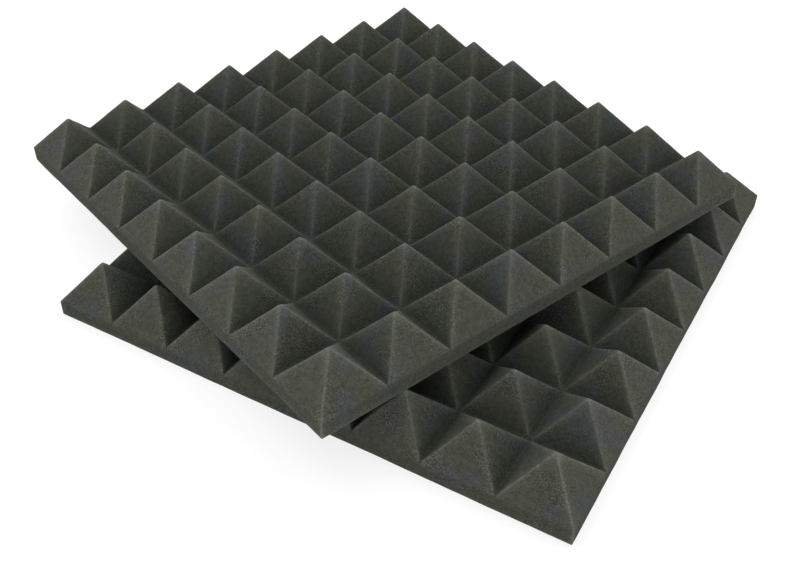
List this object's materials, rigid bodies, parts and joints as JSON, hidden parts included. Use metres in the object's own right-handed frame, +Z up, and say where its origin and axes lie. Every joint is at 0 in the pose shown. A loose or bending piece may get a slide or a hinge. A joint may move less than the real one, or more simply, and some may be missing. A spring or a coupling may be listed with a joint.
{
  "type": "acoustic foam panel",
  "caption": "Square acoustic foam panel with a face of pyramids and a flat back that is glued to a studio wall or ceiling, with a matching panel lying loose on it.",
  "frame": {"origin": "centre of the lower panel's flat back", "axes": "+Z up, out of the lower panel's back towards its pyramids; +X and +Y along the lower panel's edges, +X the longer way over the pair"},
  "size_m": [0.6525, 0.6404, 0.1003],
  "materials": {
    "foam": "matte"
  },
  "bodies": {
    "lower_panel": {"lower_panel": "foam"},
    "upper_panel": {"upper_panel": "foam"}
  },
  "joints": [
    {"name": "upper_panel_lift", "type": "slide", "parent": "lower_panel", "child": "upper_panel", "axis": [0, 0, 1], "range_m": [0, 0.12]}
  ]
}
